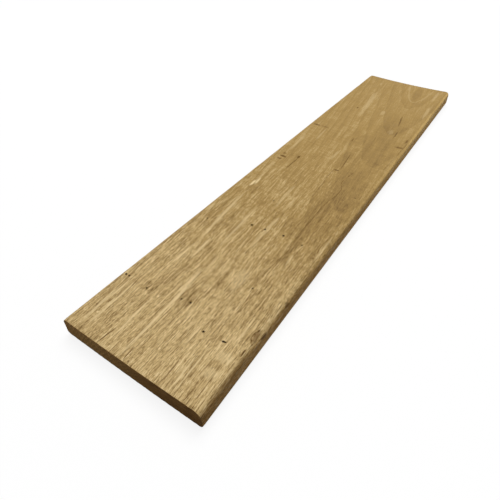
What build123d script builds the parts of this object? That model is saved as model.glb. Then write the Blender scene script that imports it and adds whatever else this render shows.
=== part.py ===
"""Hardwood plank: one sawn, planed and edge-moulded board, lying on its back.

The board runs along X, its width lies along Y and its thickness along Z. The
origin is at the middle of the board, on the level that its underside rests on.
Drying has cupped it: both long edges stand a little above the middle, so the
section is a strip bent about a line far above the board, with its long corners
eased by the moulder and a narrow flat worn where the underside bears. The upper
face has a borer's pin holes, checks, a bark pocket and a chipped shoulder.
"""

import os
from math import asin, degrees, sqrt

from build123d import *

# Driving dimensions, in millimetres
length = 655.0  # sawn end to sawn end
width = 140.0  # across the underside, long edge to long edge
thickness = 19.5  # planed thickness, square to the curved faces
cup = 1.6  # rise of the long edges above the middle of the underside
bearing_width = 40.0  # flat strip worn along the middle of the underside
face_ease = 5.0  # radius of the long corners of the upper face
back_ease = 3.5  # radius of the long corners of the underside
end_arris = 0.5  # corner broken off round each sawn end
hole_depth = 5.0  # depth of the pin holes below the upper face
check_depth = 2.0  # depth of the checks below the upper face

# Pin holes of the upper face: distance from the near end, place across, diameter
pin_holes = [
    (181.8, 11.2, 1.5),
    (183.4, -3.5, 1.3),
    (185.3, -23.6, 1.5),
    (182.7, -45.4, 0.9),
    (164.2, 53.9, 1.0),
    (62.0, 62.6, 1.2),
    (68.4, 5.9, 0.9),
    (69.5, -2.9, 1.2),
    (52.9, -29.4, 1.2),
    (110.9, -36.4, 0.9),
    (60.8, 37.8, 0.8),
    (229.8, 14.3, 0.8),
]

# Checks of the upper face: the same two places, length, width, turn from the grain
checks = [
    (54.1, -48.1, 3.8, 0.9, 97),
    (326.5, -15.5, 6.4, 0.8, 96),
    (317.3, 53.2, 7.0, 0.6, 92),
    (420.9, 58.0, 10.0, 0.7, 88),
    (503.5, -35.5, 34.0, 0.6, 10),
]

# Hollows where wood is gone: distance from the near end, length, width, depth
bark_pocket = (72.5, 20.0, 4.4, 1.2)
bark_pocket_inset = 7.0  # from the right edge to its middle
shoulder_chip = (85.5, 24.0, 7.0, 1.0)

# The cupped section: concentric arcs about a line above the board
bend_radius = ((width / 2) ** 2 + cup**2) / (2 * cup)
half_turn = degrees(asin(width / 2 / bend_radius))
worn_depth = bend_radius - sqrt(bend_radius**2 - (bearing_width / 2) ** 2)
bend_centre = (0, bend_radius - worn_depth)
lowest_turn = 270 - half_turn
face_radius = bend_radius - thickness


def on_face(from_near, across, below=0.0):
    """Gives the point of the upper face, or so far below it, at two distances."""
    level = bend_centre[1] - sqrt(face_radius**2 - across**2)
    return (from_near - length / 2, across, level - below)


def gouge(long, wide):
    """Makes a round tool along X, pointed at both ends, whose cut is boat-shaped."""
    with BuildPart() as tool:
        with BuildSketch():
            with BuildLine():
                side = SagittaArc((-long / 2, 0), (long / 2, 0), wide / 2)
                Line(side @ 1, side @ 0)
            make_face()
        revolve(axis=Axis.X)
    return tool.part


with BuildPart() as plank:
    with BuildSketch(Plane.YZ.offset(-length / 2)) as section:
        with BuildLine() as outline:
            back = CenterArc(bend_centre, bend_radius, lowest_turn, 2 * half_turn)
            face = CenterArc(bend_centre, face_radius, lowest_turn, 2 * half_turn)
            Line(back @ 0, face @ 0)
            Line(back @ 1, face @ 1)
        make_face()
        upper_corners = section.vertices().sort_by(Axis.Y)[-2:]
        fillet(upper_corners, face_ease)
        lower_corners = section.vertices().sort_by(Axis.Y)[:2]
        fillet(lower_corners, back_ease)
    extrude(amount=length)
    split(bisect_by=Plane.XY, keep=Keep.TOP)
    sawn_ends = plank.faces().filter_by(Axis.X)
    chamfer(sawn_ends.edges(), end_arris)

    for from_near, across, diameter in pin_holes:
        with Locations(on_face(from_near, across, hole_depth)):
            upwards = (Align.CENTER, Align.CENTER, Align.MIN)
            Cylinder(diameter / 2, 2 * hole_depth, align=upwards, mode=Mode.SUBTRACT)

    for from_near, across, long, wide, turn in checks:
        with BuildSketch(Plane(on_face(from_near, across, check_depth))):
            Ellipse(long / 2, wide / 2, rotation=turn)
        extrude(amount=2 * check_depth, mode=Mode.SUBTRACT)

    from_near, long, wide, deep = bark_pocket
    with Locations(on_face(from_near, bark_pocket_inset - width / 2, deep - wide / 2)):
        add(gouge(long, wide), mode=Mode.SUBTRACT)

    # The chip's tool stands off the shoulder at 45 degrees, deep enough to bite
    from_near, long, wide, deep = shoulder_chip
    near_x, corner_y, corner_z = on_face(from_near, face_ease - width / 2, face_ease)
    stand_off = (face_ease + wide / 2 - deep) / sqrt(2)
    with Locations((near_x, corner_y - stand_off, corner_z + stand_off)):
        add(gouge(long, wide), mode=Mode.SUBTRACT)

plank.part.label = "plank"
os.makedirs("parts", exist_ok=True)
export_step(plank.part, "parts/plank.step")
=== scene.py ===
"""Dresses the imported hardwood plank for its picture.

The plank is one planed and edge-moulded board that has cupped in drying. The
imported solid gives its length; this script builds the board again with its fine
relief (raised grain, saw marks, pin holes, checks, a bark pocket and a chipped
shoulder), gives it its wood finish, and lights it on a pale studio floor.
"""

import logging
import math
from abc import ABC, abstractmethod
from collections.abc import Callable, Iterator
from contextlib import contextmanager
from dataclasses import dataclass, field
from enum import Enum

import bmesh
import bpy
import numpy as np
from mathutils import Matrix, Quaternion, Vector, noise


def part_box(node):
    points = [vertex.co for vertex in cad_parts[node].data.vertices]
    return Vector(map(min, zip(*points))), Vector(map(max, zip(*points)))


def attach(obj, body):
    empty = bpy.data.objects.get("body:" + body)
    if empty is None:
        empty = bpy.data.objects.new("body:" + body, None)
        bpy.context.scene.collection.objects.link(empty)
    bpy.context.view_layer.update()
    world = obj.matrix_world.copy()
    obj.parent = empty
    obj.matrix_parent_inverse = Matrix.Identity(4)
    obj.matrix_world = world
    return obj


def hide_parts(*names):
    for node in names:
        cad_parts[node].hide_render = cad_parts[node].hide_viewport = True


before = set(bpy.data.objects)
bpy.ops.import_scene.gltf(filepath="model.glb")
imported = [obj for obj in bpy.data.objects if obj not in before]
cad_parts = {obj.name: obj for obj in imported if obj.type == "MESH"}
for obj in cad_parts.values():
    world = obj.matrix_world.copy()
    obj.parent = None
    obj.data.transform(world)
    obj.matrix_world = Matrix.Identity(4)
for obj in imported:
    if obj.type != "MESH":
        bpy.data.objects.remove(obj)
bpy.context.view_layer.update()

MM = 0.001
log = logging.getLogger("plank")

# How steeply the fibres lean to the left edge at the near end, and the gain per metre past it
RUN_OUT = 0.028
RUN_OUT_GAIN = 0.06

# The heights in millimetres between which a mark of the upper face fades in on the edges
ON_FACE = (14.0, 17.0)

Colour = tuple[float, float, float]
Piece = bpy.types.Object
Socket = bpy.types.NodeSocket
Tree = bpy.types.NodeTree


class Surface(Enum):
    """The kinds of wood surface on the board, numbered as its material slots."""

    PLANED = 0
    SAWN = 1
    BROKEN = 2


def linear(red: int, green: int, blue: int) -> Colour:
    """Turns a colour as seen on a screen, 0 to 255, into linear values."""
    shares = (red / 255, green / 255, blue / 255)
    return tuple(s / 12.92 if s <= 0.04045 else ((s + 0.055) / 1.055) ** 2.4 for s in shares)


def deselect_all() -> None:
    """Leaves nothing selected, so that an operator acts only on what is picked next."""
    bpy.ops.object.select_all(action="DESELECT")


def pick(piece: Piece) -> None:
    """Makes a piece the only selected object, and the active one.

    Args:
        piece: The piece.
    """
    deselect_all()
    piece.select_set(True)
    bpy.context.view_layer.objects.active = piece


@contextmanager
def editing(piece: Piece) -> Iterator[None]:
    """Opens a piece in edit mode with nothing selected, and closes it at the end.

    Args:
        piece: The piece.
    """
    pick(piece)
    bpy.ops.object.mode_set(mode="EDIT")
    bpy.ops.mesh.select_mode(type="EDGE")
    bpy.ops.mesh.select_all(action="DESELECT")
    yield
    bpy.ops.object.mode_set(mode="OBJECT")


def select_edges(piece: Piece, wanted: Callable[[Vector, Vector], bool]) -> None:
    """Selects only some edges of a piece that is in edit mode.

    Args:
        piece: The piece.
        wanted: Says from an edge's two ends whether it is selected.
    """
    bpy.ops.mesh.select_all(action="DESELECT")
    mesh = bmesh.from_edit_mesh(piece.data)
    for edge in mesh.edges:
        edge.select = wanted(edge.verts[0].co, edge.verts[1].co)
    mesh.select_flush_mode()
    bmesh.update_edit_mesh(piece.data)


def read_points(piece: Piece, what: str = "co") -> np.ndarray:
    """Reads a piece's vertex places, or its vertex normals, as rows of three.

    Args:
        piece: The piece.
        what: Either co, for places, or normal.

    Returns:
        The rows.
    """
    rows = np.zeros(len(piece.data.vertices) * 3, np.float32)
    source = piece.data.vertices if what == "co" else piece.data.vertex_normals
    source.foreach_get(what if what == "co" else "vector", rows)
    return rows.reshape(-1, 3).astype(float)


def write_points(piece: Piece, points: np.ndarray) -> None:
    """Moves a piece's vertices to new places."""
    piece.data.vertices.foreach_set("co", points.astype(np.float32).ravel())
    piece.data.update()


def cloud(points: np.ndarray, reach: tuple[float, float, float], shift: float = 0.0) -> np.ndarray:
    """Gives smooth unevenness at each point.

    Args:
        points: The points, in metres.
        reach: How far a swell reaches along X, Y and Z, in metres.
        shift: Moves the pattern, so that two of them differ.

    Returns:
        A value for each point, from 0 to 1.
    """
    scaled = points / np.array(reach) + shift
    return np.array([0.5 + 0.5 * noise.noise(p) for p in scaled.tolist()])


class Wire:
    """A shader value that can be used in sums, each of which adds one node."""

    def __init__(self, graph: "Graph", socket: Socket) -> None:
        """Keeps the graph, and the node output that the value comes from."""
        self.graph = graph
        self.socket = socket

    def __add__(self, other: "Value") -> "Wire":
        """Adds a value."""
        return self.graph.work("ADD", self, other)

    def __sub__(self, other: "Value") -> "Wire":
        """Takes a value away."""
        return self.graph.work("SUBTRACT", self, other)

    def __mul__(self, other: "Value") -> "Wire":
        """Multiplies by a value."""
        return self.graph.work("MULTIPLY", self, other)

    def __truediv__(self, other: "Value") -> "Wire":
        """Divides by a value."""
        return self.graph.work("DIVIDE", self, other)

    def __abs__(self) -> "Wire":
        """Drops the sign."""
        return self.graph.work("ABSOLUTE", self)


Value = float | tuple | Socket | Wire


class Graph:
    """A shader tree written as sums and calls."""

    def __init__(self, tree: Tree) -> None:
        """Keeps the tree that the nodes go into."""
        self.tree = tree

    def feed(self, node: bpy.types.Node, inputs: dict[str | int, Value]) -> None:
        """Links some of a node's sockets to shader values, or sets them to plain ones.

        Args:
            node: The node.
            inputs: What its sockets take, by their names or numbers.
        """
        for name, value in inputs.items():
            socket = node.inputs[name]
            source = value.socket if isinstance(value, Wire) else value
            if isinstance(source, Socket):
                self.tree.links.new(source, socket)
            elif socket.type == "RGBA":
                socket.default_value = (*source[:3], 1.0)
            else:
                socket.default_value = source

    def add(self, kind: str, inputs: dict[str | int, Value] | None = None, **settings) -> bpy.types.Node:
        """Adds a node.

        Args:
            kind: The node's type, such as ShaderNodeTexNoise.
            inputs: What its sockets take, by their names or numbers.
            **settings: The node's own properties, set before its sockets are fed.

        Returns:
            The node.
        """
        count = len(self.tree.nodes)
        node = self.tree.nodes.new(kind)
        node.location = (180 * (count % 12), -260 * (count // 12))
        for name, value in settings.items():
            setattr(node, name, value)
        self.feed(node, inputs or {})
        return node

    def work(self, operation: str, *values: Value) -> Wire:
        """Works out one sum, on vectors where the first value is one, and else on numbers.

        Args:
            operation: The sum, as Blender names it.
            *values: What it works on.

        Returns:
            The result, which is a number for LENGTH.
        """
        on_vectors = isinstance(values[0], Wire) and values[0].socket.type == "VECTOR"
        kind = "ShaderNodeVectorMath" if on_vectors else "ShaderNodeMath"
        node = self.add(kind, dict(enumerate(values)), operation=operation)
        return Wire(self, node.outputs["Vector" if on_vectors and operation != "LENGTH" else "Value"])

    def split(self, vector: Value) -> list[Wire]:
        """Gives a vector's three parts."""
        parts = self.add("ShaderNodeSeparateXYZ", {"Vector": vector}).outputs
        return [Wire(self, part) for part in parts]

    def join(self, x: Value, y: Value, z: Value) -> Wire:
        """Makes a vector of three parts."""
        return Wire(self, self.add("ShaderNodeCombineXYZ", {"X": x, "Y": y, "Z": z}).outputs[0])

    def turn(self, vector: Value, angle: Value, axis: str = "Z_AXIS") -> Wire:
        """Turns a vector about an axis, by an angle in radians."""
        node = self.add("ShaderNodeVectorRotate", {"Vector": vector, "Angle": angle}, rotation_type=axis)
        return Wire(self, node.outputs[0])

    def ramp(self, value: Value, low: Value, high: Value, start: float = 0.0, end: float = 1.0) -> Wire:
        """Eases from start to end as a value goes from low to high, and holds outside them.

        Args:
            value: The value.
            low: Where the result is start.
            high: Where the result is end.
            start: The result at low.
            end: The result at high.

        Returns:
            The result.
        """
        inputs = {"Value": value, "From Min": low, "From Max": high, "To Min": start, "To Max": end}
        node = self.add("ShaderNodeMapRange", inputs, interpolation_type="SMOOTHSTEP")
        return Wire(self, node.outputs["Result"])

    def noise(self, vector: Value, detail: float = 2.0, roughness: float = 0.5) -> Wire:
        """Gives cloudy noise from 0 to 1, whose clouds are about one unit across."""
        inputs = {"Vector": vector, "Scale": 1.0, "Detail": detail, "Roughness": roughness}
        return Wire(self, self.add("ShaderNodeTexNoise", inputs).outputs["Fac"])

    def cells(self, vector: Value) -> tuple[Wire, Wire]:
        """Gives a pattern of cells one unit across: their random tones, and how far their middles are."""
        cells = self.add("ShaderNodeTexVoronoi", {"Vector": vector, "Scale": 1.0}, feature="F1").outputs
        return self.split(cells["Color"])[0], Wire(self, cells["Distance"])

    def paint(self, base: Value, *layers: tuple[Value, Value]) -> Wire:
        """Lays colours over a base.

        Args:
            base: The colour underneath.
            *layers: The strength of each layer, from 0 to 1, and its colour.

        Returns:
            The colour that shows.
        """
        for strength, colour in layers:
            node = self.add("ShaderNodeMix", {0: strength, 6: base, 7: colour}, data_type="RGBA")
            base = Wire(self, node.outputs[2])
        return base

    def bump(self, height: Value, distance: float, strength: float) -> Socket:
        """Bends the surface's normal by a height from 0 to 1, over a distance in millimetres."""
        inputs = {"Height": height, "Distance": distance * MM, "Strength": strength}
        return self.add("ShaderNodeBump", inputs).outputs[0]

    def use(self, group: Tree, **inputs: Value) -> Wire:
        """Places a shared effect, with its sockets named in lower case, and gives its result."""
        named = {name.replace("_", " ").title(): value for name, value in inputs.items()}
        return Wire(self, self.add("ShaderNodeGroup", named, node_tree=group).outputs[0])


class Effects:
    """The shader node groups that the board's finishes share, each built once.

    Every length inside them is in millimetres.
    """

    def __init__(self, length: float) -> None:
        """Builds every group.

        Args:
            length: The board's length in millimetres, which sets where its ends are.
        """
        self.half_length = length / 2
        self.grain_space = self._grain_space()
        self.fibre = self._fibre()
        self.flecks = self._flecks()
        self.pores = self._pores()
        self.rings = self._rings()
        self.mark = self._mark()

    def _start(self, name: str, vectors: tuple[str, ...], **numbers: float) -> tuple[Graph, dict]:
        """Opens a group.

        Args:
            name: The group's name.
            vectors: The names of its vector inputs.
            **numbers: Its single inputs and their usual values.

        Returns:
            The graph inside the group, and its inputs by name.
        """
        tree = bpy.data.node_groups.new(name, "ShaderNodeTree")
        for vector in vectors:
            tree.interface.new_socket(vector, in_out="INPUT", socket_type="NodeSocketVector")
        for number, usual in numbers.items():
            title = number.replace("_", " ").title()
            socket = tree.interface.new_socket(title, in_out="INPUT", socket_type="NodeSocketFloat")
            socket.default_value = usual
        graph = Graph(tree)
        return graph, {s.name: Wire(graph, s) for s in graph.add("NodeGroupInput").outputs if s.name}

    def _finish(self, name: str, result: Wire) -> Tree:
        """Closes a group with its one output, and gives its tree.

        Args:
            name: The output's name.
            result: What it puts out.

        Returns:
            The group's tree.
        """
        tree = result.graph.tree
        kind = "NodeSocketVector" if result.socket.type == "VECTOR" else "NodeSocketFloat"
        tree.interface.new_socket(name, in_out="OUTPUT", socket_type=kind)
        result.graph.add("NodeGroupOutput", {name: result})
        return tree

    def _scaled(self, given: dict[str, Wire]) -> Wire:
        """Gives the place in the grain, in units of a group's own length and width."""
        width = given["Width"]
        return given["Grain"] / width.graph.join(given["Length"], width, width)

    def _grain_space(self) -> Tree:
        """Lays the grain out straight: the first part runs with the fibres, the others across them.

        The fibres run out over the left edge, by more towards the far end, and
        wander a little on the way.

        Returns:
            The group.
        """
        graph, given = self._start("grain_space", ("Position",))
        position = given["Position"]
        x, y, z = graph.split(position)
        along = x + self.half_length
        lean = along * (along * (RUN_OUT_GAIN * MM) + RUN_OUT)
        bend = graph.noise(position / (110, 38, 38), 1.0)
        ripple = graph.noise(position / (26, 9, 9), 1.0)
        across = y - lean + (bend * 5.0 + ripple * 0.9)
        return self._finish("Grain", graph.join(x, across, z))

    def _fibre(self) -> Tree:
        """Streaks that follow the grain, from 0 to 1.

        Returns:
            The group.
        """
        graph, given = self._start("fibre", ("Grain",), length=8.0, width=0.8, shift=0.0, low=0.35, high=0.65)
        shift = graph.join(*(given["Shift"],) * 3)
        streaks = graph.noise(self._scaled(given) + shift, 2.0, 0.6)
        return self._finish("Streaks", graph.ramp(streaks, given["Low"], given["High"]))

    def _flecks(self) -> Tree:
        """Short bundles of fibres, each with a tone of its own from 0 to 1.

        Returns:
            The group.
        """
        graph, given = self._start("flecks", ("Grain",), length=6.0, width=0.9)
        tone, _ = graph.cells(self._scaled(given))
        return self._finish("Tone", tone)

    def _pores(self) -> Tree:
        """Open vessels: short dark dashes on a long face, or dots where length equals width.

        Returns:
            The group.
        """
        graph, given = self._start("pores", ("Grain",), length=3.0, width=0.5, share=0.4, size=0.3)
        chance, far = graph.cells(self._scaled(given))
        kept = graph.work("LESS_THAN", chance, given["Share"])
        return self._finish("Pores", graph.ramp(far, given["Size"], 0.0) * kept)

    def _rings(self) -> Tree:
        """Growth rings round a pith that lies below the board, darker towards each year's end.

        Returns:
            The group.
        """
        pith_far, pith_run, pith_depth, taper = -26.0, 0.07, 62.0, 0.066
        graph, given = self._start("rings", ("Position",), spacing=6.8, wander=2.4)
        x, y, z = graph.split(given["Position"])
        pith_y = (x - self.half_length) * pith_run + pith_far
        radius = graph.work("LENGTH", graph.join(0.0, y - pith_y, z + pith_depth))
        bend = graph.noise(given["Position"] / (60, 17, 17))
        bent = radius - x * taper + bend * given["Wander"]
        year = graph.work("FRACT", bent / given["Spacing"])
        fade = graph.ramp(year, 0.97, 1.0, 1.0, 0.0)
        return self._finish("Rings", graph.work("POWER", year, 3.0) * fade)

    def _mark(self) -> Tree:
        """One long soft-edged patch with a ragged outline, from 0 to 1 in its middle.

        Returns:
            The group.
        """
        core = 0.55
        graph, given = self._start("mark", ("Position", "Centre", "Half Size"), tilt=0.0, ragged=0.5)
        apart = given["Position"] - given["Centre"]
        turned = graph.turn(apart, given["Tilt"] * -1.0)
        far = graph.work("LENGTH", turned / given["Half Size"]) + given["Ragged"]
        return self._finish("Mark", graph.ramp(far, 1.0, core))


@dataclass(frozen=True)
class Canvas:
    """What a finish is painted on.

    Attributes:
        effects: The shared effects.
        position: The place on the board, in millimetres.
        grain: The place in the grain, in millimetres.
    """

    effects: Effects
    position: Wire
    grain: Wire

    @property
    def graph(self) -> Graph:
        """The material's graph."""
        return self.position.graph

    def along(self, effect: Tree, length: float, width: float, **more: float) -> Wire:
        """Gives an effect that has a length and a width in the grain."""
        return self.graph.use(effect, grain=self.grain, length=length, width=width, **more)

    def lay(self, mark: "Mark | Trace | Arch", ragged: Value) -> Wire:
        """Gives one mark's strength, on a node that is labelled with what it is.

        Args:
            mark: The mark.
            ragged: How far its outline strays at each place.

        Returns:
            Its strength at each place.
        """
        strength = mark.mask(self, ragged) * mark.strength
        strength.socket.node.label = mark.what
        return strength

    def strongest(self, marks: "tuple[Mark | Trace | Arch, ...]", ragged: Value) -> Wire:
        """Gives the strongest of several marks at each place.

        Args:
            marks: The marks.
            ragged: How far their outlines stray.

        Returns:
            The greatest strength, from 0 to 1.
        """
        most = 0.0
        for mark in marks:
            most = self.graph.work("MAXIMUM", self.lay(mark, ragged), most)
        return most

    def within(self, mask: Wire, *ramps: tuple[Wire, float, float]) -> Wire:
        """Fades a mask out past some limits.

        Args:
            mask: The mask.
            *ramps: A value, where it hides the mask and where it shows all of it.

        Returns:
            The faded mask.
        """
        for value, outside, inside in ramps:
            mask = mask * self.graph.ramp(value, outside, inside)
        return mask


@dataclass(frozen=True)
class Mark:
    """A patch of other colour on the board, with its sizes in millimetres.

    Attributes:
        what: What the patch is.
        x: Its middle along the board.
        y: Its middle across the board.
        half_length: Half its length, mostly with the grain.
        half_width: Half its width.
        strength: How strongly it colours the wood, from 0 to 1, or the other way below 0.
        tilt: The turn of its length from the board's, in degrees.
        z: Its middle's height, on the upper face unless it says otherwise.
    """

    what: str
    x: float
    y: float
    half_length: float
    half_width: float
    strength: float
    tilt: float = 0.0
    z: float = 19.5

    def mask(self, canvas: Canvas, ragged: Value) -> Wire:
        """Draws the patch.

        Args:
            canvas: What it is painted on.
            ragged: How far its outline strays at each place.

        Returns:
            From 0 outside it to 1 inside.
        """
        return canvas.graph.use(
            canvas.effects.mark,
            position=canvas.position,
            centre=(self.x, self.y, self.z),
            half_size=(self.half_length, self.half_width, max(4.0, self.half_width)),
            tilt=math.radians(self.tilt),
            ragged=ragged,
        )


@dataclass(frozen=True)
class Trace:
    """A thin dark line that wanders along the upper face, with its sizes in millimetres.

    Attributes:
        what: What the line is.
        path: The places along and across the board that it passes.
        half_width: Half its width.
        strength: How strongly it colours the wood, from 0 to 1.
    """

    what: str
    path: tuple[tuple[float, float], ...]
    half_width: float
    strength: float

    def mask(self, canvas: Canvas, ragged: Value) -> Wire:
        """Draws the line.

        Args:
            canvas: What it is painted on.
            ragged: How far its outline strays at each place.

        Returns:
            From 0 outside it to 1 inside.
        """
        graph = canvas.graph
        start, end = self.path[0][0], self.path[-1][0]
        low = min(y for _, y in self.path)
        rise = max(y for _, y in self.path) - low
        x, y, z = graph.split(canvas.position)
        share = (x - start) / (end - start)
        bent = graph.add("ShaderNodeFloatCurve", {"Value": share})
        curve = bent.mapping.curves[0]
        for place_x, place_y in self.path[1:-1]:
            curve.points.new((place_x - start) / (end - start), (place_y - low) / rise)
        curve.points[0].location = (0.0, (self.path[0][1] - low) / rise)
        curve.points[-1].location = (1.0, (self.path[-1][1] - low) / rise)
        bent.mapping.update()
        middle = Wire(graph, bent.outputs[0]) * rise + low
        away = abs(y - middle) / self.half_width
        mask = graph.ramp(away + ragged, 1.0, 0.4) * graph.ramp(ragged, 0.12, -0.1, 0.25, 1.0)
        return canvas.within(mask, (share, 0.0, 0.05), (share, 1.0, 0.95), (z, *ON_FACE))


@dataclass(frozen=True)
class Arch:
    """A growth ring that comes out of the upper face as an arch, with its sizes in millimetres.

    Attributes:
        what: What the arch is.
        x: Its nose's place along the board.
        y: Its nose's place across the board.
        spread: Half the distance between its arms, 50 mm past the nose.
        half_width: Half the width of its line.
        strength: How strongly it colours the wood, from 0 to 1.
        tilt: The turn of its middle line from the board's length, in degrees.
        reach: How far past the nose its arms run.
    """

    what: str
    x: float
    y: float
    spread: float
    half_width: float
    strength: float
    tilt: float = 0.0
    reach: float = 75.0

    def mask(self, canvas: Canvas, ragged: Value) -> Wire:
        """Draws the arch.

        Args:
            canvas: What it is painted on.
            ragged: How far its outline strays at each place.

        Returns:
            From 0 outside it to 1 inside.
        """
        graph = canvas.graph
        sharpness = 50.0 / self.spread**2
        apart = canvas.position - (self.x, self.y, 0.0)
        along, across, height = graph.split(graph.turn(apart, -math.radians(self.tilt)))
        bow = across * across * sharpness
        steepness = graph.work("SQRT", bow * (4.0 * sharpness) + 1.0)
        away = abs(along - bow) / steepness / self.half_width + ragged
        mask = graph.ramp(away, 1.0, 0.3)
        return canvas.within(mask, (along, self.reach, 0.7 * self.reach), (height, *ON_FACE))


PALE_MARKS = (
    Mark("cream fleck near the left edge", -81.5, 51.7, 8, 1.6, 1.0, 3),
    Mark("its lower half", -75.5, 49.1, 8, 1.6, 0.9, 3),
    Mark("its tail", -68.0, 51.4, 15, 1.6, 0.37, 2),
    Mark("long streak at the far end", 216, 26.7, 58, 4.6, 0.33, 5.9),
    Mark("its end", 297, 37.3, 10, 2.0, 0.28, 10),
    Mark("blob in the middle of the far part", 188, -4.7, 9, 3.8, 0.28, 2),
    Mark("streak in the middle", 32, 1.2, 18, 2.2, 0.28),
    Mark("streak by the right shoulder", 223, -59.7, 36, 3.0, 0.3, 1),
    Mark("streak at the far right corner", 295, -54.7, 26, 3.0, 0.28, 1),
    Mark("left streak of the near half", -146, 45, 48, 2.4, 0.53, 5),
    Mark("middle streak of the near half", -152, 21.2, 42, 1.7, 0.5, 3.8),
    Mark("long streak from the near end", -280, 9.6, 55, 1.5, 0.77, 2),
    Mark("short streak on the left", -220, 40.5, 16, 1.6, 0.72, 2),
    Mark("streak past the pin holes", -149, -5.5, 32, 2.4, 0.4, 2),
    Mark("streak before the middle", -83, 8.7, 30, 2.2, 0.31, 3),
    Mark("thin streak before the middle", -90, -3.8, 22, 1.5, 0.25, 1),
    Mark("streak by the left edge", -41, 55.5, 17, 1.7, 0.31, 1),
    Mark("streak after the cross checks", 28, 55.3, 32, 2.2, 0.28, 1),
    Mark("slanted streak on the left", 70, 40.3, 20, 1.8, 0.28, 5),
    Mark("near corner streak", -300, 56, 22, 1.6, 0.63, 2),
    Mark("near end streak", -296, 25.5, 24, 1.3, 0.68, 4),
    Mark("pale patch past the slit", -284, -56, 6, 7, 0.41),
    Mark("pale patch at the near right corner", -300, -55, 6, 7, 0.36),
    Mark("near left streak", -281, 55.2, 13, 1.3, 0.68, 3),
    Mark("second near left streak", -291, 49.5, 26, 1.5, 0.63, 3),
    Mark("band past the long streak", -240, 12.5, 19, 2.2, 0.63, 3),
    Mark("streak in the near left half", -201, 31.6, 16, 1.7, 0.59, 3),
    Mark("streak before the near pin hole", -281, -24.6, 15, 1.4, 0.59, 2),
    Mark("first line by the near right corner", -311, -39.5, 19, 0.9, 0.72, 3),
    Mark("second line by the near right corner", -303, -42.6, 24, 0.9, 0.72, 3),
    Mark("streak past the slit", -255, -55.8, 15, 1.5, 0.54, 2),
    Mark("pale patch in the near right half", -214, -22, 16, 7, 0.32, 3),
    Mark("fleck past the pin holes", -128, -5.5, 9, 2.0, 0.43, 2),
    Mark("fleck in the brown band", -170, -45.5, 9, 1.7, 0.37, 2),
    Mark("line along the right shoulder", -140, -64.6, 34, 1.2, 0.37),
    Mark("pale speck near the left corner", -307.2, 51.7, 1.5, 0.9, 1.0),
    Mark("pale speck in the near left half", -267.8, 23.3, 1.4, 0.9, 1.0),
    Mark("pale speck near the end", -304.5, -12.0, 1.4, 0.9, 0.9),
    Arch("cathedral arch at the far end", 254, -30, 17.0, 1.8, 0.18, 3),
    Mark("right arm of the cathedral arch", 291, -42.6, 30, 1.8, 0.17, -5),
    Mark("patch between the far lines", 134, -36.5, 9, 4.5, 0.17, 5),
)

WANDERING_LINE = (
    (-207, -36.3), (-190, -35.9), (-175, -36.3), (-165, -38.0), (-150, -36.6), (-136.5, -35.5),
    (-110.5, -34.6), (-93.5, -36.0), (-78.5, -34.2), (-60, -36.2), (-43.5, -38.0), (-32, -36.0),
    (-20, -31.9), (-8, -33.2), (7, -34.8),
)

DARK_MARKS = (
    Mark("slit across the grain", -273.4, -48.1, 0.95, 3.0, 1.0, 7),
    Mark("first cross check's stain", -17.7, 54.5, 2.2, 5.0, 0.4),
    Mark("second cross check's stain", -10.2, 53.2, 2.4, 5.6, 0.55),
    Mark("third cross check's stain", -2.7, 55.3, 2.8, 2.6, 0.4),
    Mark("small knot", -0.2, 36.5, 4.2, 1.9, 0.6),
    Mark("line running to the knot", -18, 36.0, 22, 0.8, 0.5),
    Mark("check at the left edge", 93.5, 58.0, 3.0, 7.5, 0.4),
    Mark("its fading end", 94.5, 46, 2.6, 7.0, 0.28),
    Mark("short arm of the bent check", -1, -15.5, 2.0, 4.8, 0.45),
    Mark("long arm of the bent check", 22, -16.8, 28, 0.9, 0.36, 6),
    Trace("faint line before it", ((-68.5, -16.5), (-40, -15), (-12, -12.4), (-1, -14)), 0.8, 0.45),
    Trace("faint line far past it", ((20, -33.2), (65, -28), (111, -25)), 1.2, 0.2),
    Trace("line along the shoulder", ((28, -62.6), (60, -64.2), (112, -66)), 0.8, 0.3),
    Mark("dash past it", 81.5, -1.3, 6, 1.0, 0.45, 3),
    Mark("check at the right shoulder", 95, -60.5, 3.2, 6.0, 0.36),
    Mark("dash at the right shoulder", 117, -63.5, 9, 1.7, 0.45),
    Mark("short line on the right", 129.5, -44.7, 14, 1.2, 0.36, 2),
    Mark("long line on the right", 174, -36.6, 22, 1.2, 0.36, 8),
    Mark("spot in the far left part", 183.5, 33.3, 3.4, 1.7, 0.55),
    Mark("line from the near end", -318.3, 29.3, 10.5, 0.6, 0.6, -6.7),
    Mark("thin line from the near end", -320.5, 4.1, 8.5, 0.6, 0.5, 7),
    Mark("thin line near the right corner", -320.8, -53.4, 8, 0.6, 0.45),
    Mark("lines by the near right corner", -312, -31, 12, 0.7, 0.5, 4),
    Trace("rim of the bark pocket", ((-264, -67.2), (-260, -64.6), (-255, -63.6), (-249, -65.6)), 1.3, 0.7),
    Mark("bottom of the bark pocket", -256, -65.6, 9, 2.2, 0.5, 6),
    Mark("line before the bark pocket", -273.5, -65.6, 5, 0.7, 0.6, 2),
    Mark("shade along the near right shoulder", -298, -69.0, 40, 3.0, 0.3, 0, 17.5),
    Mark("stain on the shoulder", -214, -68.9, 4, 1.7, 0.5, 0, 17.8),
    Mark("stain in the chip", -250, -69.6, 6, 1.6, 0.6, 0, 17.0),
    Trace("dashes by the right shoulder", ((-158, -62.8), (-140, -62.0), (-122, -62.3)), 0.8, 0.6),
    Trace("wandering line's first half", WANDERING_LINE[:8], 0.75, 0.5),
    Trace("wandering line's second half", WANDERING_LINE[7:], 0.75, 0.5),
    Trace("thin line below it", ((-110, -42.8), (-96, -41.5), (-80, -38.6)), 0.7, 0.35),
)

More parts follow.
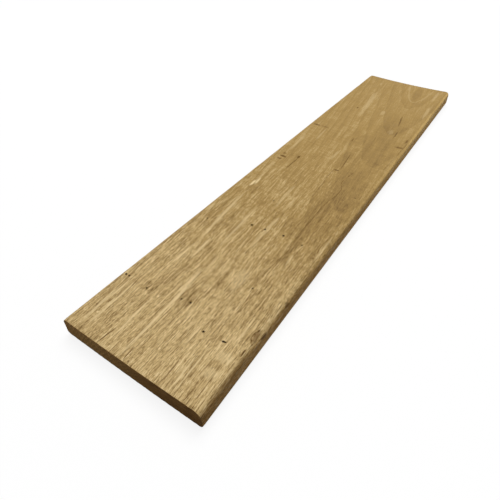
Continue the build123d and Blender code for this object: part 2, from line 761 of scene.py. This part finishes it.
OLIVE_ZONES = (
    Mark("brown heartwood band", -45, -42, 205, 24, 0.62, 1.5),
    Mark("its far end", 120, -32, 100, 26, 0.26, 4),
    Mark("brown band by the left edge", -60, 30, 90, 8, 0.25, 3),
    Mark("shade inside the cathedral arch", 293, -26.5, 38, 8, 0.5, 4),
    Mark("stain round the near pin holes", -255, 3, 14, 8, 0.6),
    Mark("stain towards the left edge", -263, 36, 9, 9, 0.5),
    Mark("stain before the far pin holes", -228, -16, 6, 10, 0.5),
    Mark("brown patch under the lines", 146, -50.5, 18, 5.5, 0.35, 2),
    Mark("brown place round the bent check", 30, -13, 42, 8, 0.5, -3),
    Mark("brown place before the cream fleck", -88, 44, 16, 8, 0.45),
    Mark("brown place before the pin holes", -180, -60, 18, 6, 0.45),
    Mark("brown place at the band's edge", -124, -22, 24, 10, 0.7, 3),
    Mark("brown place in the near right half", -210, -30, 16, 8, 0.5),
    Mark("brown place in the middle of the far half", 86, -10, 22, 9, 0.5),
    Mark("pale place past the bent check", 52, -35, 60, 13, -0.35, 2),
    Mark("pale place by the far left edge", 74, 56, 44, 9, -0.3, 2),
    Mark("pale place in the brown band", -158, -50.5, 22, 10, -0.6, 2),
    Mark("pale place in the left half", -78, 26, 30, 8, -0.4, 2),
    Mark("pale place past the near pin hole", -247, -26, 18, 9, -0.55),
    Mark("pale place by the near right shoulder", -193, -47, 18, 8, -0.5),
    Mark("pale place in the far left part", 112, 13, 40, 8, -0.2, 3),
    Mark("pale place near the right corner", -300, -31, 16, 8, -0.5),
    Mark("pale place by the left edge", 139, 55, 40, 8, -0.2, 3),
)


def new_material(name: str) -> tuple[bpy.types.Material, Graph, bpy.types.Node]:
    """Makes an empty material, and gives it with its graph and its shader.

    Args:
        name: The material's name.

    Returns:
        The material, its graph and its shader.
    """
    material = bpy.data.materials.new(name)
    material.use_nodes = True
    shader = material.node_tree.nodes["Principled BSDF"]
    return material, Graph(material.node_tree), shader


def in_millimetres(graph: Graph) -> Wire:
    """Gives the place on the board, in millimetres from its origin."""
    return Wire(graph, graph.add("ShaderNodeTexCoord").outputs["Object"]) * ((1 / MM,) * 3)


def swing(depth: Value, share: Wire, *effects: tuple[Wire, float]) -> Wire:
    """Darkens and lightens a tone by effects that go from 0 to 1, about their middle.

    Args:
        depth: The darkness so far.
        share: How much of the swings there is at each place.
        *effects: The effects, each with its weight.

    Returns:
        The darkness.
    """
    for effect, weight in effects:
        depth = (effect - 0.5) * share * weight + depth
    return depth


@dataclass(frozen=True)
class PlanedFinish:
    """The planed faces and moulded edges: pale straw at the near end, honey at the far one."""

    straw: Colour = linear(203, 173, 119)
    honey: Colour = linear(180, 148, 90)
    cream: Colour = linear(238, 212, 160)
    shade: Colour = linear(132, 105, 65)
    brown: Colour = linear(108, 76, 36)
    edge_near: Colour = linear(200, 145, 68)
    edge_far: Colour = linear(228, 178, 96)
    # The colour of the painted highlight along the right shoulder.
    shoulder_highlight: Colour = linear(244, 204, 130)
    ink: Colour = linear(44, 29, 12)
    roughness: float = 0.62
    zone_depth: float = 0.27
    pore_depth: float = 0.14
    ring_depth: float = 0.12
    line_depth: float = 0.2
    tip_shade: float = 0.2

    def build(self, effects: Effects) -> bpy.types.Material:
        """Makes the material.

        Args:
            effects: The shared effects.

        Returns:
            The material.
        """
        material, graph, shader = new_material("planed_face")
        position = in_millimetres(graph)
        grain = graph.use(effects.grain_space, position=position)
        canvas = Canvas(effects, position, grain)
        ragged = graph.noise(grain / (4.0, 0.9, 0.9)) - 0.5
        fine = canvas.along(effects.fibre, 9.0, 0.45, shift=3.1, low=0.34, high=0.66)
        middle = canvas.along(effects.fibre, 34.0, 2.0, shift=7.7)
        pores = canvas.along(effects.pores, 4.2, 0.75, share=0.3, size=0.32)

        depth = self._sharp_grain(canvas, fine, middle)
        depth = self._soft_grain(canvas, middle, depth) + pores * self.pore_depth
        softer = ragged * 0.3
        for zone in OLIVE_ZONES:
            depth = depth + canvas.lay(zone, softer) * self.zone_depth
        lighter, darker = depth * -2.0 + 1.0, depth * 2.0 - 1.0
        colour = graph.paint(self._tone(canvas), (lighter, self.cream), (darker, self.shade))
        colour = self._marks(canvas, ragged, colour)

        relief = fine * -0.5 + 1.0 - pores
        finished = {
            "Base Color": colour,
            "Normal": graph.bump(relief, 0.08, 0.8),
            "Roughness": middle * 0.14 + (self.roughness - 0.07),
            "Specular IOR Level": 0.04,
        }
        graph.feed(shader, finished)
        return material

    def _tone(self, canvas: Canvas) -> Wire:
        """Gives the wood's tone, paler near and warm on the edges, with a painted highlight along the right
        shoulder.

        Args:
            canvas: What the finish is painted on.

        Returns:
            The colour.
        """
        graph = canvas.graph
        x, y, z = graph.split(canvas.position)
        near = graph.ramp(x, -100.0, -290.0)
        edge = graph.paint(self.edge_near, (graph.ramp(x, -300.0, 250.0), self.edge_far))
        on_edge = graph.ramp(abs(y), 67.4, 69.8)
        # A painted highlight on the right shoulder and the upper side below it, stronger towards the far end.
        crest = graph.ramp(y, -65.2, -67.8) * graph.ramp(z, 9.0, 15.5)
        worn = crest * graph.ramp(x, -300.0, 220.0, 0.12, 0.82)
        return graph.paint(self.honey, (near, self.straw), (on_edge, edge), (worn, self.shoulder_highlight))

    def _sharp_grain(self, canvas: Canvas, fine: Wire, middle: Wire) -> Wire:
        """Gives the fine grain's darkness, which is crisp at the near end and soft at the far one.

        Args:
            canvas: What the finish is painted on.
            fine: The finest streaks.
            middle: The middling streaks.

        Returns:
            The darkness, about 0.5 on plain wood.
        """
        graph, effects = canvas.graph, canvas.effects
        flecks = canvas.along(effects.flecks, 12.0, 0.52)
        grit = canvas.along(effects.flecks, 2.0, 0.7)
        dark_lines = canvas.along(effects.fibre, 34.0, 0.6, shift=5.2, low=0.58, high=0.76)
        pale_lines = canvas.along(effects.fibre, 45.0, 1.1, shift=9.4, low=0.54, high=0.72)
        sharp = graph.ramp(graph.split(canvas.position)[0], 100.0, -250.0, 0.18, 1.0)
        depth = swing(0.5, sharp, (flecks, 0.55), (fine, 0.2), (grit, 0.45), (middle, 0.04))
        return depth + (dark_lines - pale_lines) * sharp * self.line_depth

    def _soft_grain(self, canvas: Canvas, middle: Wire, depth: Wire) -> Wire:
        """Adds the broad figure to a darkness: streaks, patches, cross bands and growth rings.

        Args:
            canvas: What the finish is painted on.
            middle: The middling streaks.
            depth: The darkness so far.

        Returns:
            The darkness.
        """
        graph, effects = canvas.graph, canvas.effects
        broad = canvas.along(effects.fibre, 120.0, 5.5, shift=1.3)
        patches = graph.noise(canvas.position / (22, 13, 13))
        chatter = graph.noise(canvas.grain / (3.6, 18, 18), 1.0)
        rings = graph.use(effects.rings, position=canvas.position)
        calm = graph.ramp(graph.split(canvas.position)[0], 20.0, 250.0, 1.0, 0.55)
        depth = swing(depth, calm, (middle, 0.04), (broad, 0.1), (patches, 0.26), (chatter, 0.22))
        return depth + rings * self.ring_depth

    def _marks(self, canvas: Canvas, ragged: Wire, colour: Value) -> Wire:
        """Lays the pale streaks, the dark marks, the pin holes' stains and the dark near tip.

        Args:
            canvas: What the finish is painted on.
            ragged: How far outlines stray at each place.
            colour: The wood's colour.

        Returns:
            The colour with its marks.
        """
        graph = canvas.graph
        x, _, z = graph.split(canvas.position)
        stranded = (graph.noise(canvas.grain / (18.0, 0.8, 0.8)) - 0.5) * 1.9
        pale = canvas.strongest(PALE_MARKS, stranded)
        stains = canvas.strongest(tuple(hole.stain() for hole in PIN_HOLES), 0.0)
        dark = graph.work("MAXIMUM", canvas.strongest(DARK_MARKS, ragged), stains)
        tip = graph.ramp(x, -250.0, -322.0) * graph.ramp(z, 17.5, 13.5)
        return graph.paint(
            colour,
            (pale, self.cream),
            (dark * 1.4, self.brown),
            (graph.ramp(dark, 0.5, 1.0), self.ink),
            (tip * self.tip_shade, self.ink),
        )


@dataclass(frozen=True)
class SawnFinish:
    """The cross-cut ends: dark end grain with its rings, vessels and the saw's scratches."""

    wood: Colour = linear(158, 117, 66)
    late: Colour = linear(126, 90, 49)
    vessel: Colour = linear(56, 40, 21)
    pale: Colour = linear(200, 157, 97)
    speck: Colour = linear(240, 190, 122)
    roughness: float = 0.8
    saw_turn: float = math.radians(17)

    def build(self, effects: Effects) -> bpy.types.Material:
        """Makes the material.

        Args:
            effects: The shared effects.

        Returns:
            The material.
        """
        material, graph, shader = new_material("sawn_end")
        position = in_millimetres(graph)
        canvas = Canvas(effects, position, position)
        rings = graph.use(effects.rings, position=position, spacing=3.4, wander=2.4)
        pores = canvas.along(effects.pores, 0.9, 0.9, share=0.5, size=0.34)
        patches = graph.noise(position / (20, 11, 6), 3.0)
        turned = graph.turn(position, self.saw_turn, "X_AXIS")
        scratches = graph.noise(turned / (3, 16, 0.5))
        left = graph.ramp(patches * 50.0 + graph.split(position)[1], -10.0, 75.0)
        specks = graph.ramp(canvas.along(effects.flecks, 1.3, 1.3), 0.6, 0.95) * left
        colour = graph.paint(
            self.wood,
            (graph.ramp(patches, 0.35, 0.7), self.late),
            (left * 0.62, self.pale),
            (specks * 0.7, self.speck),
            (rings * 0.6, self.late),
            (graph.ramp(scratches, 0.55, 0.8, 0.0, 0.55), self.pale),
            (pores * 0.75, self.vessel),
        )
        finished = {
            "Base Color": colour,
            "Normal": graph.bump(scratches - pores, 0.2, 0.9),
            "Roughness": patches * 0.16 + (self.roughness - 0.08),
            "Specular IOR Level": 0.03,
        }
        graph.feed(shader, finished)
        return material


@dataclass(frozen=True)
class BrokenFinish:
    """Wood inside holes, checks and chips: painted dark as the shade in these recesses, and rough."""

    # Both colours are painted shade for the walls of the recesses.
    shaded_fibre: Colour = linear(66, 47, 26)
    stain: Colour = linear(30, 20, 11)
    roughness: float = 0.9

    def build(self, effects: Effects) -> bpy.types.Material:
        """Makes the material.

        Args:
            effects: The shared effects.

        Returns:
            The material.
        """
        material, graph, shader = new_material("broken_wood")
        fibres = graph.use(effects.fibre, grain=in_millimetres(graph), length=4.0, width=0.4)
        finished = {
            "Base Color": graph.paint(self.stain, (fibres, self.shaded_fibre)),
            "Normal": graph.bump(fibres, 0.2, 1.0),
            "Roughness": fibres * -0.1 + self.roughness,
        }
        graph.feed(shader, finished)
        return material


@dataclass(frozen=True)
class Defect(ABC):
    """Something that is missing from the upper face, with its sizes in millimetres."""

    x: float
    y: float

    @abstractmethod
    def tool(self) -> Piece:
        """Makes the solid to be cut out, turned as it will stand, at the origin."""

    def cutter(self, board: "Board") -> Piece:
        """Makes the solid that is cut out of the board.

        Args:
            board: The board that it is cut from.

        Returns:
            The solid, at its place on the board.
        """
        deselect_all()
        tool = self.tool()
        tool.location = (self.x * MM, self.y * MM, board.face_height(self.y * MM))
        return tool


@dataclass(frozen=True)
class PinHole(Defect):
    """A borer's round hole, which leans a little."""

    diameter: float = 1.2
    depth: float = 5.0
    lean: float = 8.0

    def stain(self) -> Mark:
        """Gives the dark stain round the hole's mouth."""
        reach = 0.45 + 0.75 * self.diameter
        return Mark("stain round a pin hole", self.x, self.y, reach, reach, 0.95)

    def tool(self) -> Piece:
        """Makes the round tool.

        Returns:
            The tool.
        """
        radius, length = self.diameter / 2 * MM, 2 * self.depth * MM
        turns = (math.radians(self.lean), math.radians(self.lean / 2), 0)
        bpy.ops.mesh.primitive_cylinder_add(vertices=12, radius=radius, depth=length, rotation=turns)
        return bpy.context.object


@dataclass(frozen=True)
class Check(Defect):
    """A split: long, narrow and pointed at both ends."""

    length: float
    width: float = 0.5
    depth: float = 2.5
    heading: float = 0.0
    bow: float = 0.3

    def tool(self) -> Piece:
        """Makes the thin tool.

        Returns:
            The tool.
        """
        bpy.ops.mesh.primitive_cube_add(size=1)
        split = bpy.context.object
        with editing(split):
            select_edges(split, lambda a, b: abs(a.x - b.x) > 0.5)
            bpy.ops.mesh.subdivide(number_cuts=7)
        points = read_points(split)
        share = 2 * points[:, 0]
        taper = np.maximum(0.08, 1 - share**2)
        below = points[:, 2] < 0
        points[:, 0] *= self.length * MM
        points[:, 1] *= self.width * MM * taper * np.where(below, 0.3, 1.0)
        points[:, 1] += self.bow * MM * np.sin(math.pi * share)
        points[:, 2] = np.where(below, -self.depth * MM * taper, self.depth * MM)
        write_points(split, points)
        split.rotation_euler = (0, 0, math.radians(self.heading))
        return split


@dataclass(frozen=True)
class Scoop(Defect):
    """A shallow boat-shaped hollow where bark has rotted away."""

    length: float
    width: float
    depth: float
    heading: float = 0.0

    def tool(self) -> Piece:
        """Makes the lumpy tool.

        Returns:
            The tool.
        """
        bpy.ops.mesh.primitive_uv_sphere_add(segments=20, ring_count=10, radius=1)
        scoop = bpy.context.object
        points = read_points(scoop)
        points *= (0.88 + 0.24 * cloud(points, (0.7, 0.5, 0.5), self.x))[:, None]
        write_points(scoop, points)
        scoop.scale = (self.length / 2 * MM, self.width / 2 * MM, self.depth * MM)
        scoop.rotation_euler = (0, 0, math.radians(self.heading))
        return scoop


@dataclass(frozen=True)
class Hollow:
    """A long soft dip worn into the right shoulder, in millimetres."""

    x: float
    half_length: float
    depth: float


SHOULDER_HOLLOWS = (
    Hollow(-242, 9, 0.9),
    Hollow(-219, 8, 0.35),
    Hollow(-300, 26, 0.5),
)

PIN_HOLES = (
    PinHole(-145.7, 11.2, 1.5),
    PinHole(-144.1, -3.5, 1.3),
    PinHole(-142.2, -23.6, 1.5),
    PinHole(-144.8, -45.4, 0.9),
    PinHole(-163.3, 53.9, 1.0),
    PinHole(-265.5, 63.2, 1.2),
    PinHole(-265.4, 59.8, 0.9),
    PinHole(-259.1, 5.9, 0.9),
    PinHole(-258.0, -2.9, 1.2),
    PinHole(-274.6, -29.4, 1.2),
    PinHole(-216.6, -36.4, 0.9),
    PinHole(-266.7, 37.8, 0.8),
    PinHole(-97.7, 14.3, 0.8),
    PinHole(-43.9, -57.1, 0.8),
)

CHECKS = (
    Check(-273.4, -48.1, 3.8, 0.9, 2.5, 97),
    Check(-318.6, 29.3, 15, 0.3, 1.0, -7),
    Check(-17.7, 54.5, 6, 0.5, 1.5, 86),
    Check(-10.2, 53.2, 7, 0.6, 1.5, 92),
    Check(-1.0, -15.5, 6.4, 0.8, 2.0, 96),
    Check(27, -16.4, 44, 0.3, 1.0, 6.5, 0.5),
    Check(93.4, 58.0, 10, 0.7, 1.6, 88),
    Check(94.0, -60.0, 8, 0.6, 1.6, 94),
    Check(129.5, -44.7, 20, 0.4, 1.2, 2),
    Check(176, -35.5, 34, 0.6, 1.6, 10, 0.5),
    Check(-272.5, -65.4, 6, 0.4, 1.0, 2),
)

SCOOPS = (
    Scoop(-255.5, -64.2, 18, 4.4, 1.2, 6),
)


@dataclass
class Board:
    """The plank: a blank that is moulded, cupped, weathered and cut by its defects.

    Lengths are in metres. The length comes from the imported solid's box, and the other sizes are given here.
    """

    length: float
    width: float = 140 * MM
    thickness: float = 19.5 * MM
    cup: float = 1.6 * MM
    bearing_width: float = 40 * MM
    face_ease: float = 5.0 * MM
    back_ease: float = 3.5 * MM
    end_arris: float = 0.5 * MM
    column: float = 1.0 * MM
    row_cuts: tuple[int, int] = (14, 16)
    swell: float = 0.16 * MM
    raised_grain: float = 0.09 * MM
    saw_mark: float = 0.08 * MM
    saw_pitch: float = 0.34 * MM
    torn_end: float = 0.14 * MM
    shoulder_wear: float = 0.3 * MM
    arris_wear: float = 0.25 * MM
    corner_wear: float = 1.6 * MM
    corner_reach: tuple[float, float] = (3 * MM, 3.5 * MM)
    smooth_angle: float = math.radians(38)
    piece: Piece | None = field(default=None, init=False)

    @property
    def bend_radius(self) -> float:
        """The radius that the underside is bent to."""
        return ((self.width / 2) ** 2 + self.cup**2) / (2 * self.cup)

    @property
    def worn_depth(self) -> float:
        """How much the middle of the underside is worn away."""
        return self.bend_radius - math.sqrt(self.bend_radius**2 - (self.bearing_width / 2) ** 2)

    @property
    def flat_width(self) -> float:
        """The blank's width before it cups."""
        return 2 * self.bend_radius * math.asin(self.width / 2 / self.bend_radius)

    def face_height(self, y: float) -> float:
        """Gives the upper face's height at a place across the board."""
        face_radius = self.bend_radius - self.thickness
        return self.bend_radius - self.worn_depth - math.sqrt(face_radius**2 - y**2)

    def build(self) -> Piece:
        """Makes the whole board, with its finishes and its defects.

        Returns:
            The board's piece.
        """
        self._blank()
        self._ease_corners()
        self._divide()
        self._cup()
        self._weather()
        log.info("board moulded, cupped and weathered: %d faces", len(self.piece.data.polygons))
        self._dress()
        self._cut(PIN_HOLES, Surface.BROKEN)
        self._cut(CHECKS, Surface.BROKEN)
        self._cut(SCOOPS, Surface.PLANED)
        pick(self.piece)
        bpy.ops.object.shade_smooth_by_angle(angle=self.smooth_angle)
        log.info("defects cut: %d faces", len(self.piece.data.polygons))
        return self.piece

    def _blank(self) -> None:
        """Adds the square blank, resting on its back."""
        deselect_all()
        bpy.ops.mesh.primitive_cube_add(size=1, location=(0, 0, self.thickness / 2))
        self.piece = bpy.context.object
        self.piece.name = "weathered_board"
        self.piece.scale = (self.length, self.flat_width, self.thickness)
        bpy.ops.object.transform_apply(location=True, rotation=True, scale=True)

    def _ease_corners(self) -> None:
        """Rounds the four long corners, and breaks the arris round both ends."""
        middle = self.thickness / 2
        lowest = 0.1 * MM
        end = self.length / 2 - 0.1 * MM
        corners = (
            (self.face_ease, 6, lambda a, b: abs(a.x - b.x) > end and a.z > middle),
            (self.back_ease, 4, lambda a, b: abs(a.x - b.x) > end and a.z < lowest),
            (self.end_arris, 2, lambda a, b: abs(a.x) > end and abs(b.x) > end and a.x * b.x > 0),
        )
        with editing(self.piece):
            for ease, segments, wanted in corners:
                select_edges(self.piece, wanted)
                bpy.ops.mesh.bevel(offset=ease, segments=segments, affect="EDGES")

    def _divide(self) -> None:
        """Cuts the faces up finely enough to carry the relief."""
        reach = self.flat_width / 2 - self.face_ease
        columns = np.linspace(-reach, reach, round(2 * reach / self.column) + 1)
        turns = np.radians(np.arange(0, 90, 15))
        upper = self.thickness - self.face_ease + self.face_ease * np.sin(turns)
        side = np.linspace(self.back_ease, self.thickness - self.face_ease, 11)[:-1]
        lower = self.back_ease - self.back_ease * np.sin(np.radians((22.5, 45, 67.5)))
        with editing(self.piece):
            for y in columns:
                self._bisect((0, float(y), 0), (0, 1, 0))
            for z in (*upper, *side, *lower):
                self._bisect((0, 0, float(z)), (0, 0, 1))
            for cuts in self.row_cuts:
                select_edges(self.piece, lambda a, b: abs(a.y - b.y) + abs(a.z - b.z) < 1e-6)
                bpy.ops.mesh.subdivide(number_cuts=cuts, quadcorner="STRAIGHT_CUT")

    def _bisect(self, place: tuple[float, float, float], across: tuple[float, float, float]) -> None:
        """Cuts every face of the piece in edit mode along a plane."""
        bpy.ops.mesh.select_all(action="SELECT")
        bpy.ops.mesh.bisect(plane_co=place, plane_no=across, threshold=0.00001)

    def _cup(self) -> None:
        """Bends the flat board about a line above it, and wears its lowest strip flat."""
        points = read_points(self.piece)
        turn = points[:, 1] / self.bend_radius
        reach = self.bend_radius - points[:, 2]
        points[:, 1] = reach * np.sin(turn)
        height = self.bend_radius - self.worn_depth - reach * np.cos(turn)
        points[:, 2] = np.maximum(0.0, height)
        write_points(self.piece, points)

    def _weather(self) -> None:
        """Sinks the surface by the wear of weather, saw and hands, always into the wood."""
        points = read_points(self.piece)
        facing = read_points(self.piece, "normal")
        x, y, z = points.T
        on_end = np.clip((np.abs(facing[:, 0]) - 0.6) / 0.3, 0, 1)
        depth = self._face_relief(points) * (1 - on_end) + self._end_relief(points) * on_end

        high = np.clip((z - self.thickness + self.face_ease) / self.face_ease, 0, 1)
        outer = np.clip((np.abs(y) - self.width / 2 + 1.5 * self.face_ease) / self.face_ease, 0, 1)
        shoulder = high * outer * (1 - on_end)
        depth += shoulder * self.shoulder_wear * cloud(points, (0.02, 0.006, 0.006), 3.0)
        right = shoulder * (y < 0)
        for hollow in SHOULDER_HOLLOWS:
            away = (x - hollow.x * MM) / (hollow.half_length * MM)
            depth += right * hollow.depth * MM * np.exp(-(away**2))
        arris = (np.abs(x) > self.length / 2 - 1.2 * self.end_arris) & (on_end < 0.99)
        depth += arris * self.arris_wear * cloud(points, (0.003, 0.0022, 0.0022), 4.0)

        points -= facing * depth[:, None]
        along, across = self.corner_reach
        to_far_end = np.exp(-(((self.length / 2 - x) / along) ** 2))
        to_edge = np.exp(-(((self.width / 2 - np.abs(y)) / across) ** 2))
        points[:, 0] -= self.corner_wear * to_far_end * to_edge
        points[:, 2] = np.maximum(0.0, points[:, 2])
        write_points(self.piece, points)

    def _face_relief(self, points: np.ndarray) -> np.ndarray:
        """Gives the depth of the swell and the raised grain.

        Args:
            points: The vertices' places.

        Returns:
            The depth at each of them.
        """
        from_near = points[:, 0] + self.length / 2
        grain = points.copy()
        grain[:, 1] -= from_near * (RUN_OUT + RUN_OUT_GAIN * from_near)
        swell = self.swell * cloud(points, (0.055, 0.018, 0.018))
        return swell + self.raised_grain * cloud(grain, (0.03, 0.0026, 0.0026), 5.0)

    def _end_relief(self, points: np.ndarray) -> np.ndarray:
        """Gives the depth of the saw's marks and of torn end grain.

        Args:
            points: The vertices' places.

        Returns:
            The depth at each of them.
        """
        _, y, z = points.T
        drift = 9 * cloud(points, (0.01, 0.012, 0.003), 2.0)
        saw = 0.5 + 0.5 * np.sin((z + 0.3 * y) / self.saw_pitch + drift)
        return self.saw_mark * saw + self.torn_end * cloud(points, (0.002, 0.0016, 0.0016), 9.0)

    def _dress(self) -> None:
        """Gives the board its materials, with the end grain on its ends."""
        effects = Effects(self.length / MM)
        mesh = self.piece.data
        for finish in (PlanedFinish(), SawnFinish(), BrokenFinish()):
            mesh.materials.append(finish.build(effects))
        inner = self.length / 2 - 0.45 * MM
        for face in mesh.polygons:
            if abs(face.center.x) > inner and abs(face.normal.x) > 0.5:
                face.material_index = Surface.SAWN.value

    def _cut(self, defects: tuple[Defect, ...], inside: Surface) -> None:
        """Cuts some defects, which don't touch one another, out of the board.

        Args:
            defects: The holes, checks or scoops.
            inside: The surface that shows inside them.
        """
        cutters = [defect.cutter(self) for defect in defects]
        deselect_all()
        for cutter in cutters:
            cutter.select_set(True)
        bpy.context.view_layer.objects.active = cutters[0]
        bpy.ops.object.transform_apply(location=True, rotation=True, scale=True)
        bpy.ops.object.join()
        tool = bpy.context.object
        tool.data.materials.clear()
        for material in self.piece.data.materials:
            tool.data.materials.append(material)
        tool.data.polygons.foreach_set("material_index", [inside.value] * len(tool.data.polygons))
        modifier = self.piece.modifiers.new("defects", "BOOLEAN")
        modifier.operation = "DIFFERENCE"
        modifier.solver = "EXACT"
        modifier.object = tool
        pick(self.piece)
        bpy.ops.object.modifier_apply(modifier=modifier.name)
        bpy.data.objects.remove(tool)


@dataclass
class Studio:
    """The pale floor, the soft lamp and the camera at the photograph's angle."""

    floor_size: float = 6.0
    floor_tone: float = 0.2
    floor_glow: float = 1.03
    shadow_share: float = 0.16
    surround: float = 0.2
    lamp_place: tuple[float, float, float] = (1.2, 0.45, 4.2)
    lamp_size: float = 3.0
    lamp_power: float = 155.0
    camera_place: tuple[float, float, float] = (-0.40760, -0.15607, 0.27379)
    camera_aim: tuple[float, float, float] = (-0.17782, -0.00800, 0.01950)
    camera_roll: float = 1.195
    lens: float = 28.67

    def build(self) -> None:
        """Sets up everything round the board."""
        self._floor()
        self._surround()
        self._lamp()
        self._camera()
        bpy.context.scene.view_settings.view_transform = "Standard"

    def _seen(self, graph: Graph) -> Wire:
        """Gives 1 where the camera, a reflection or clear glass sees a thing, and else 0.

        Args:
            graph: The material's graph.

        Returns:
            The 1 or 0.
        """
        path = graph.add("ShaderNodeLightPath").outputs
        shiny = graph.work("MAXIMUM", path["Is Glossy Ray"], path["Is Transmission Ray"])
        return graph.work("MAXIMUM", path["Is Camera Ray"], shiny)

    def _floor(self) -> None:
        """Lays a floor that looks white and keeps the board's shadow."""
        deselect_all()
        bpy.ops.mesh.primitive_plane_add(size=self.floor_size)
        floor = bpy.context.object
        floor.name = "studio_floor"
        material, graph, shader = new_material("pale_floor")
        white = (1.0, 1.0, 1.0)
        seen = self._seen(graph)
        tone = graph.paint((self.floor_tone,) * 3, (seen, white))
        graph.feed(shader, {"Base Color": tone, "Roughness": 1.0, "Specular IOR Level": 0.0})
        glow = graph.add("ShaderNodeEmission", {"Color": white, "Strength": self.floor_glow}).outputs[0]
        lit = {0: seen * (1 - self.shadow_share), 1: shader.outputs[0], 2: glow}
        mixed = graph.add("ShaderNodeMixShader", lit).outputs[0]
        graph.feed(material.node_tree.nodes["Material Output"], {"Surface": mixed})
        floor.data.materials.append(material)

    def _surround(self) -> None:
        """Gives soft light from all round, under a backdrop that looks white."""
        world = bpy.data.worlds.new("studio_surround")
        bpy.context.scene.world = world
        world.use_nodes = True
        graph = Graph(world.node_tree)
        strength = graph.ramp(self._seen(graph), 0.0, 1.0, self.surround, 1.0)
        graph.feed(world.node_tree.nodes["Background"], {"Color": (1.0, 1.0, 1.0), "Strength": strength})

    def _lamp(self) -> None:
        """Hangs one large soft lamp over the board, beyond its far end."""
        data = bpy.data.lights.new("soft_lamp", "AREA")
        data.shape = "SQUARE"
        data.size = self.lamp_size
        data.energy = self.lamp_power
        lamp = bpy.data.objects.new("soft_lamp", data)
        lamp.location = self.lamp_place
        lamp.rotation_euler = (-Vector(self.lamp_place)).to_track_quat("-Z", "Y").to_euler()
        bpy.context.scene.collection.objects.link(lamp)

    def _camera(self) -> None:
        """Stands the camera where the photograph was taken from."""
        data = bpy.data.cameras.new("photo_camera")
        data.lens = self.lens
        data.clip_start = 0.01
        camera = bpy.data.objects.new("photo_camera", data)
        camera.location = self.camera_place
        sight = Vector(self.camera_aim) - Vector(self.camera_place)
        level = sight.to_track_quat("-Z", "Y")
        camera.rotation_mode = "QUATERNION"
        camera.rotation_quaternion = level @ Quaternion((0, 0, 1), math.radians(self.camera_roll))
        bpy.context.scene.collection.objects.link(camera)
        bpy.context.scene.camera = camera


def main() -> None:
    """Builds the studio and the board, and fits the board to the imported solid's body."""
    logging.basicConfig(level=logging.INFO, format="%(name)s: %(message)s")
    Studio().build()
    log.info("studio ready")
    low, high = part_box("plank")
    board = Board(length=high.x - low.x).build()
    log.info("%s stands for the plank", board.name)
    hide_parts("plank")
    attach(board, "root")


if __name__ == "__main__":
    main()
